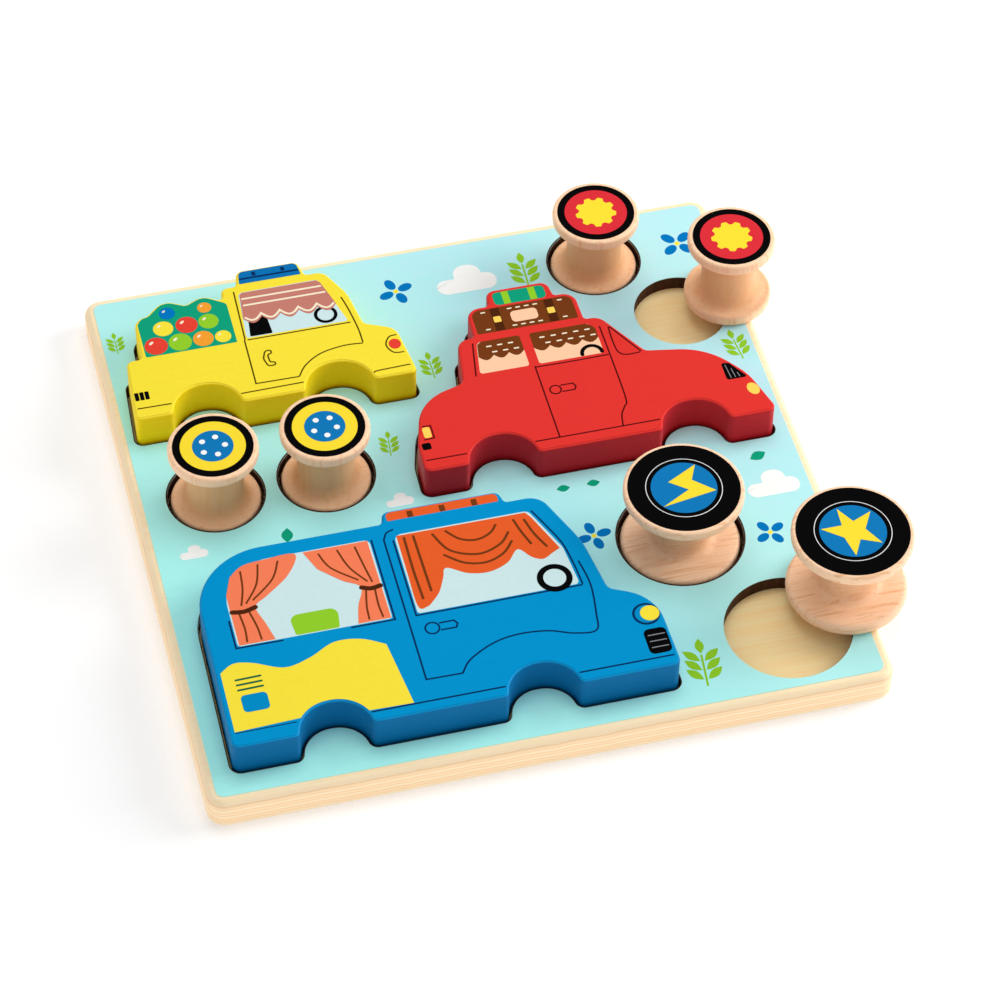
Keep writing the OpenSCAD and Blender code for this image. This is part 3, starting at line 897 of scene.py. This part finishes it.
def vanArt(vehicle):
    line = vehicle["lineWidth"]
    edge = insideCorners(vehicle)[-len(vehicle["upper"]):]
    panelTop = flowing([(64.6, 34), (56, 38.6), (46, 39.4), (36, 34.4), (26, 32), (15, 36.8),
                        (8, 38), (2.6, 34.6)])
    rearArch, archReach, archTop = vehicle["archMiddles"][0], 15, 20
    leftSill, rightSill = 6.9, 5.0
    archEdge = [(x, y) for x, y in roundedOutline(insideCorners(vehicle))
                if abs(x - rearArch) < archReach and (leftSill if x < rearArch else rightSill) < y < archTop]
    panel = [(68.2, rightSill)] + panelTop + [(2.3, leftSill)] + archEdge
    rearWindow = roundedOutline([(11.4, 45.4, 1.2), (69.6, 45.4, 1.2), (69.6, 84.6, 2.4), (11.4, 84.6, 20)])
    leftCurtain = flowing([(15, 78.6), (20.4, 83), (29, 84.2), (41, 84.2), (36.6, 75), (27, 67),
                           (21.6, 62.6), (23.6, 54), (25.6, 45.8)]) + [(12, 45.8), (12, 70)]
    rightCurtain = flowing([(44, 84.2), (56, 84.2), (68.8, 84.2)]) + [(69.2, 45.8)]
    rightCurtain += flowing([(56.8, 45.8), (58.6, 54), (61.6, 62.6), (55.4, 67.4), (47.6, 75)])
    folds = [flowing(points) for points in (
        [(19.4, 80.4), (18.6, 72), (16.6, 64.4)], [(26.4, 82.2), (24, 73), (18.6, 65)],
        [(34, 82.2), (30.2, 74), (21.4, 66)], [(15, 60.4), (15.6, 53), (15.2, 47)],
        [(18.8, 60.4), (20.2, 53), (20.6, 47)],
        [(63.6, 82.2), (65, 72), (66.2, 64.4)], [(56.8, 82.2), (59.4, 73), (64.4, 65)],
        [(49.6, 82), (52.6, 74.4), (61.2, 66.4)], [(66.4, 60.4), (66, 53), (66.4, 47)],
        [(63, 60.4), (61.6, 53), (61.2, 47)])]
    ties = [flowing([(12.6, 61.8), (17, 61.2), (21.4, 62.4)]),
            flowing([(61.8, 62.4), (65, 61.2), (68.8, 61.8)])]
    cushion = roundedOutline([(33.4, 45.8, 1), (49.8, 45.8, 1), (51, 55.4, 3.2), (32.4, 55.4, 3.2)])
    frontWindow = roundedOutline([(79.2, 45.4, 1.2), (141.2, 45.4, 1.6), (139.6, 64, 10),
                                  (131.2, 84.6, 3), (79.2, 84.6, 3)])
    swag = flowing([(80, 84), (79.9, 66), (80, 49), (83.4, 47.8), (86.6, 50.4), (89.6, 54),
                    (92.4, 60), (94.6, 64.4), (102, 60), (110, 58.8), (117.6, 61.6), (122.8, 67),
                    (127, 62.2), (131, 60.2), (135, 62.2), (138.4, 64)])
    swag += [(131.6, 81.4), (130, 84)]
    bands = [flowing(points) for points in (
        [(82.6, 82.4), (82.4, 66), (82.8, 52)], [(86.2, 82.4), (86.4, 68), (86.6, 55)],
        [(93.4, 81.6), (98, 72.4), (108, 68.2), (117, 71), (121.4, 76)],
        [(98.6, 82), (103, 77), (109, 75.2), (114.6, 77.2), (117.6, 80.6)],
        [(95.4, 70.6), (102, 65.2), (110, 63.6), (117.2, 66.4), (121.6, 71.4)],
        [(128.8, 80.6), (130.8, 73), (133.8, 66)], [(124.8, 81.4), (126.2, 75.4), (128.4, 68.6)])]
    lines = strokes(line, (
        flowing([(79.4, 87.4), (76.6, 86.2), (75, 83)]) + [(75, 14.4), (88.6, 14.2)],
        flowing([(88.8, 14.4), (93, 19.8), (103, 25.3), (113, 27.2), (124, 26.2), (133, 22.9),
                 (141.4, 22.3), (143.4, 30), (145, 44), (143.6, 56)]),
        [(10.6, 58), (10.6, 44.8), (28, 44.6)], [(54, 44.6), (70.4, 44.6), (70.4, 84)],
        [(78.4, 82), (78.4, 44.6), (141.8, 44.6)],
        flowing([(142.2, 45.2), (141.5, 55), (139.9, 66), (136.3, 75.6), (132.6, 84.2)]),
        [(52.6, 4.5), (102.2, 4.5)], [(130.4, 4.5), (166, 4.5)],
        [(86, 39.2), (91.4, 39.2), (92.4, 37.5), (91.6, 35.8), (86, 35.8)]))
    lines += [stroke([(2.6, 6.4), (25, 6.4)], 0.6 * line), hoop(82.8, 37.4, 3, 2.3)]
    vents = [[(7.4, y), (16.6, y + 0.2)] for y in (30.2, 27.8, 25.4)]
    roofBox = roundedOutline([(78.4, 91.9, 0.4), (121.6, 91.9, 0.4)] + edge[5:7])
    return [
        ("panel", "yellow", 1, [panel]),
        ("panel_vents", "ventGreen", 2, strokes(0.85, vents)),
        ("panel_flap", "skyBlue", 2, [bar(7.5, 14.8, 17.3, 22.8, 1.8)]),
        ("rear_window", "glass", 1, [rearWindow]),
        ("cushion", "lime", 2, [cushion]),
        ("curtains", "coral", 3, [leftCurtain, rightCurtain]),
        ("curtain_folds", "brown", 4, strokes(0.75, folds)),
        ("curtain_ties", "darkBrown", 5, strokes(2, ties)),
        ("front_window", "glass", 1, [frontWindow]),
        ("swag", "orange", 2, [swag]),
        ("swag_folds", "brown", 3, strokes(1, bands)),
        ("steering", "black", 4, [oval(132.8, 50.2, 6.7)]),
        ("steering_inside", "glass", 5, [oval(132.8, 50.2, 4.3)]),
        ("lines", "navyLine", 1, lines),
        ("lamp_ring", "navyLine", 1, [oval(161.3, 25.5, 5.2)]),
        ("lamp_rim", "skyBlue", 2, [oval(161.3, 25.5, 4.25)]),
        ("lamp", "yellow", 3, [oval(162.7, 25.6, 3.6)]),
        ("grille", "black", 2, [bar(157.8, 6.4, 166.4, 18.2, 2.2)]),
        ("grille_bars", "grey", 3, [stroke([(159.2, y), (165.4, y)], 0.4) for y in (9.4, 12.3, 15.2)]),
        ("roof_box", "orange", 1, [roofBox]),
        ("roof_straps", "brown", 2, [bar(x, 92, x + 2.2, 95.1) for x in (86.4, 98.9, 111.4)]),
    ]


vehicles = {"truck": (truck, truckArt), "car": (car, carArt), "van": (van, vanArt)}
for vehicleName, (vehicle, artOf) in vehicles.items():
    origin = vehicleOrigin(vehicleName, vehicle)
    shapedBlock(vehicleName, vehicle, origin)
    dressNode(vehicleName + "_print", inkFinish(vehicleName + "_top_print", vehicle["topTone"]))
    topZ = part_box(vehicleName + "_print")[1].z
    for part, inkName, layer, outlines in artOf(vehicle):
        printInk(vehicleName + "_" + part, vehicleName, inkName, layer, outlines, origin, topZ)
    print(vehicleName, "shaped and printed")


# spools: one of each size is turned, and the others are copies of it

turning = {
    "flangeHigh": 5.4,
    "waist": 11.0,
    "footRound": 2.2,
    "topRound": 1.1,
    "coveSteps": 9,
    "roundStep": 12.0,  # degrees
    "steps": 96,
    "weld": 0.005,
    "smoothUnder": 35.0,
}
spools = {
    "small": {
        "wheels": ("truck_rear", "truck_front", "car_rear", "car_front"),
        "lipRound": 1.3, "neckRound": 2.8, "neckHigh": 4.5, "rise": 0.0, "coveAcross": 4.9, "coveUp": 5.6,
        "light": srgb(255, 215, 178), "mid": srgb(246, 190, 144), "dark": srgb(186, 120, 70),
        # painted shade tone for the waist and coves, and its largest share
        "core": srgb(228, 164, 104), "coreShare": 0.7,
        "coreStart": 1.5,  # painted shade: the darker waist tone begins this far inside a flange
        "grain": (1, 1, 0.04), "flecks": (1, 1, 0.1), "fleckShare": 0.15,
    },
    "large": {
        "wheels": ("van_rear", "van_front"),
        "lipRound": 2.0, "neckRound": 2.8, "neckHigh": 5.2, "rise": 0.6, "coveAcross": 3.8, "coveUp": 3.8,
        "light": srgb(255, 214, 178), "mid": srgb(236, 181, 134), "dark": srgb(178, 106, 58),
        # painted shade tone for the waist and coves, its largest share and where it begins
        "core": srgb(230, 166, 114), "coreShare": 0.5, "coreStart": 3.0,
        "grain": (0.04, 1, 1), "flecks": (0.08, 1, 1), "fleckShare": 0.35,
    },
}


def spoolProfile(rim, tall, cut, size):
    cove = []
    for k in range(cut["coveSteps"] + 1):
        turn = radians(90) * k / cut["coveSteps"]
        cove.append((cut["waist"] + size["coveAcross"] * (1 - sin(turn)),
                     cut["flangeHigh"] + size["rise"] + size["coveUp"] * (1 - cos(turn)), 0))
    lower = [(0, 0, 0), (rim, 0, cut["footRound"]), (rim, cut["flangeHigh"], size["lipRound"])] + cove
    upper = [(out, tall - level, 0) for out, level, radius in reversed(cove)]
    upper += [(rim, tall - size["neckHigh"], size["neckRound"]), (rim, tall, cut["topRound"]), (0, tall, 0)]
    return roundedOutline(lower + upper, radians(cut["roundStep"]))


def turnedSpool(low, high, cut, size):
    middle = (low + high) / 2
    profile = spoolProfile((high.x - low.x) / 2 / mm, (high.z - low.z) / mm, cut, size)
    bpy.ops.object.select_all(action="DESELECT")
    spool = drawnLoop([(middle.x + out * mm, middle.y, low.z + up * mm) for out, up in profile])

    def alongAxis(edge):
        return set(edge.vertices) == {0, len(profile) - 1}

    pickEdges(spool, alongAxis)
    bpy.ops.mesh.delete(type="EDGE")
    bpy.ops.mesh.select_mode(type="VERT")
    bpy.ops.mesh.select_all(action="SELECT")
    bpy.ops.mesh.spin(steps=cut["steps"], angle=2 * pi, center=middle, axis=(0, 0, 1))
    bpy.ops.mesh.select_all(action="SELECT")
    bpy.ops.mesh.remove_doubles(threshold=cut["weld"] * mm)
    bpy.ops.mesh.normals_make_consistent(inside=False)
    closeMesh()
    bpy.ops.object.shade_smooth_by_angle(angle=radians(cut["smoothUnder"]))
    return spool


def copiedSpool(spool, shift):
    bpy.ops.object.select_all(action="DESELECT")
    spool.select_set(True)
    bpy.context.view_layer.objects.active = spool
    bpy.ops.object.duplicate()
    openMesh()
    bpy.ops.transform.translate(value=shift)
    closeMesh()
    return bpy.context.object


for size in spools.values():
    boxes = [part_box(wheelName + "_spool") for wheelName in size["wheels"]]
    pattern = turnedSpool(*boxes[0], turning, size)
    turned = [pattern] + [copiedSpool(pattern, low - boxes[0][0]) for low, high in boxes[1:]]
    # where the painted shade between the flanges begins, above the foot and below the top
    inside = turning["flangeHigh"] + size["coreStart"]
    for wheelName, spool, (low, high) in zip(size["wheels"], turned, boxes):
        spool.name = wheelName + "_turned"
        finish = beechFinish("beech_" + wheelName, size, low.z / mm + inside, high.z / mm - inside)
        settle(spool, wheelName + "_wheel", finish)
        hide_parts(wheelName + "_spool")
print("spools turned")


# discs: stacked printed layers, kept within the CAD disc's height; lengths are shares of its radius

discSteps = {"base": 96, "ring": 80, "hub": 64, "dot": 24}
blackHigh = 0.08 * mm
yellowDisc = {
    "wheels": {"truck_rear": 68.0, "truck_front": 54.0},  # where the first dot stands, degrees
    "share": 0.98, "ring": 0.81, "hub": 0.51, "dots": 5, "dotReach": 0.3, "dot": 0.075,
}
redDisc = {
    "wheels": {"car_rear": 23.0, "car_front": 17.0},  # where the first ray stands, degrees
    "share": 0.98, "ring": 0.81, "rays": 9,
    "tip": (0.535, 7.5), "foot": (0.44, 14.5),  # reach and half angle of a ray
    "soft": 0.6,
}
blackDisc = {
    "wheels": {"van_rear": "bolt", "van_front": "star"},
    "share": 1.0, "line": 0.682, "lineInside": 0.669, "hub": 0.588,
    "bolt": [(7.2, 10.3), (-5.1, 4.0), (1.5, -1.3), (-10.1, -7.5), (11.5, -4.0), (3.9, 3.1)],  # mm
    "starOuter": 12.0, "starInner": 4.8, "starTips": (-42.0, 40.0, 103.0, 163.0, 258.0),
}


def filled(radius, steps):
    return [oval(0, 0, radius, count=discSteps[steps])]


def yellowLayers(disc, radius, first):
    dots = []
    for k in range(disc["dots"]):
        x, y = swung(disc["dotReach"] * radius, 0, radians(first + 360 * k / disc["dots"]))
        dots.append(oval(x, y, disc["dot"] * radius, count=discSteps["dot"]))
    return [("ring", "discYellow", filled(disc["ring"] * radius, "ring")),
            ("hub", "discBlue", filled(disc["hub"] * radius, "hub")), ("dots", "white", dots)]


def redLayers(disc, radius, first):
    (tip, tipHalf), (foot, footHalf) = disc["tip"], disc["foot"]
    corners = []
    for k in range(disc["rays"]):
        for reach, aside in ((foot, -footHalf), (tip, -tipHalf), (tip, tipHalf), (foot, footHalf)):
            angle = radians(first + 360 * k / disc["rays"] + aside)
            corners.append((*swung(reach * radius, 0, angle), disc["soft"]))
    return [("ring", "discRed", filled(disc["ring"] * radius, "ring")),
            ("sun", "discYellow", [roundedOutline(corners)])]


def starOutline(disc):
    tips = list(disc["starTips"])
    points = []
    for tip, following in zip(tips, tips[1:] + [tips[0] + 360]):
        points.append(swung(disc["starOuter"], 0, radians(tip)))
        points.append(swung(disc["starInner"], 0, radians((tip + following) / 2)))
    return points


def blackLayers(disc, radius, motif):
    outline = disc["bolt"] if motif == "bolt" else starOutline(disc)
    return [("line", "white", filled(disc["line"] * radius, "base")),
            ("field", "black", filled(disc["lineInside"] * radius, "base")),
            ("hub", "discBlue", filled(disc["hub"] * radius, "ring")), (motif, "discYellow", [outline])]


def printDisc(wheelName, disc, layersOf):
    low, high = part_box(wheelName + "_disc")
    middle, radius, topZ = (low + high) / 2, (high.x - low.x) / 2 * disc["share"], low.z + blackHigh
    around = oval(middle.x, middle.y, radius, count=discSteps["base"])
    base = raisedSlabs(wheelName + "_black", [around], low.z, topZ)
    settle(base, wheelName + "_wheel", inks["black"])
    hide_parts(wheelName + "_disc")
    layers = layersOf(disc, radius / mm, disc["wheels"][wheelName])
    for layer, (part, inkName, outlines) in enumerate(layers, 1):
        printInk(wheelName + "_" + part, wheelName + "_wheel", inkName, layer, outlines, middle, topZ)


for slotName, disc, layersOf in (("yellow_disc", yellowDisc, yellowLayers), ("red_disc", redDisc, redLayers),
                                 ("black_disc", blackDisc, blackLayers)):
    for wheelName in disc["wheels"]:
        printDisc(wheelName, disc, layersOf)
print("wheels printed")


# motifs on the board, in the free places between the cut-outs: x, y, size and turn

boardMotifs = {
    "cloud": [(-13, -5, 4.6), (13, -5, 4.6), (13, 4.6, 4.4), (7.2, 4.6, 0.6), (7.2, 10.6, 5.2),
              (-4.6, 10.6, 5.2), (-4.6, 3.4, 0.6), (-13, 3.4, 4)],
    "clouds": [(23, 104, 0.95), (112, -30, 0.8), (-30, -4, 0.42), (-112, -11.5, 0.42)],
    "sprig": {"stem": 15, "stemWidth": 0.9, "roots": (3, 7.6, 12.2), "rootAside": 0.9, "lean": 48,
              "leaf": 8.4, "tipRoot": 16, "tipLeaf": 7.4, "leafWidth": 3.6},
    "sprigs": [(47, 96, 0.85, 88), (-1.8, 56, 0.62, 90), (60, -118, 0.95, 84),
               (-28, 20, 0.55, 84), (120, 38, 0.7, 95), (-121, 98, 0.5, 90)],
    "flower": {"petals": 4, "reach": 4.6, "petal": (3.2, 2.1), "petalSteps": 28,
               "heart": 1.1, "heartSteps": 20},
    "flowers": [(-6, 106, 0.95, 20), (112, 106, 1, 40), (38, -38, 0.9, 10),
                (104, -52, 0.85, 30)],
    "drop": (9, 5.6),
    "drops": [(-76.3, -14, 0.8, 80), (30, -12, 0.6, 0), (42, -12, 0.6, 0),
              (114, -12, 0.8, 200)],
}


def sprigShapes(sprig, x, y, size, turn):
    def at(along, across=0.0):
        return leaned([(size * along, size * across)], x, y, turn)[0]

    wide = sprig["leafWidth"] * size
    shapes = [stroke([at(0), at(sprig["stem"])], sprig["stemWidth"] * size)]
    for along in sprig["roots"]:
        for side in (1, -1):
            root = at(along, side * sprig["rootAside"])
            shapes.append(leaf(*root, sprig["leaf"] * size, wide, turn + side * sprig["lean"]))
    return shapes + [leaf(*at(sprig["tipRoot"]), sprig["tipLeaf"] * size, wide, turn)]


def petalShapes(flower, x, y, size, turn):
    petals = []
    wide, high = (size * half for half in flower["petal"])
    for k in range(flower["petals"]):
        lean = turn + 360 * k / flower["petals"]
        across, along = swung(flower["reach"] * size, 0, radians(lean))
        petals.append(oval(x + across, y + along, wide, high, lean, flower["petalSteps"]))
    return petals


def cloudShape(cloud, x, y, size):
    return roundedOutline([(x + across * size, y + up * size, radius * size) for across, up, radius in cloud])


def printBoard(motifs):
    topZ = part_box("face_sheet")[1].z
    sprig, flower, (long, wide) = motifs["sprig"], motifs["flower"], motifs["drop"]
    layout = {
        "clouds": ("white", [cloudShape(motifs["cloud"], *spot) for spot in motifs["clouds"]]),
        "sprigs": ("lime", [shape for spot in motifs["sprigs"] for shape in sprigShapes(sprig, *spot)]),
        "petals": ("motifBlue", [shape for spot in motifs["flowers"]
                                 for shape in petalShapes(flower, *spot)]),
        "hearts": ("yellow", [oval(x, y, flower["heart"] * size, count=flower["heartSteps"])
                              for x, y, size, turn in motifs["flowers"]]),
        "drops": ("teal", [leaf(x, y, long * size, wide * size, turn)
                           for x, y, size, turn in motifs["drops"]]),
    }
    for name, (inkName, outlines) in layout.items():
        printInk("board_" + name, "board", inkName, 1, outlines, (0, 0), topZ)


cutRims = {
    "recessGap": 1.0,  # room round a vehicle, mm
    "rimWidth": 0.35,
    "holeRim": 0.6,
    "gapShadeIn": 0.8,  # painted shade on the base, in the gap round a seated spool, reaches this far under its rounded foot
    "gapShadeOut": 0.1,
    "holes": {"truck_rear": 18.7, "truck_front": 18.7, "car_rear": 18.7, "van_rear": 24.3},
    "steps": 96,
}


def printRims(rims):
    shapes, gapShade = [], []
    for name, (vehicle, artOf) in vehicles.items():
        left, front = vehicleOrigin(name, vehicle)
        sides = {}
        for side, reach in (("inner", rims["recessGap"]), ("outer", rims["recessGap"] + rims["rimWidth"])):
            corners = drawnIn(vehicleCorners(vehicle), -reach)
            sides[side] = [(left / mm + x, front / mm + y) for x, y in roundedOutline(corners)]
        shapes.append(sides)
    for name, radius in rims["holes"].items():
        low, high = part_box(name + "_spool")
        x, y = (low.x + high.x) / 2 / mm, (low.y + high.y) / 2 / mm
        under = (high.x - low.x) / 2 / mm - rims["gapShadeIn"]
        shapes.append(hoop(x, y, radius + rims["holeRim"], radius, rims["steps"]))
        # painted shade: a dark ring in the rim ink on the base plate, in the gap between a seated spool's
        # foot and its hole's wall
        gapShade.append(hoop(x, y, radius - rims["gapShadeOut"], under, rims["steps"]))
    printInk("board_cut_rims", "board", "rimBrown", 1, shapes, (0, 0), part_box("face_sheet")[1].z)
    paintedGapShade = printInk("base_painted_shade", "board", "rimBrown", 1, gapShade, (0, 0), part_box("base_plate")[1].z)


printBoard(boardMotifs)
printRims(cutRims)
print("board printed")
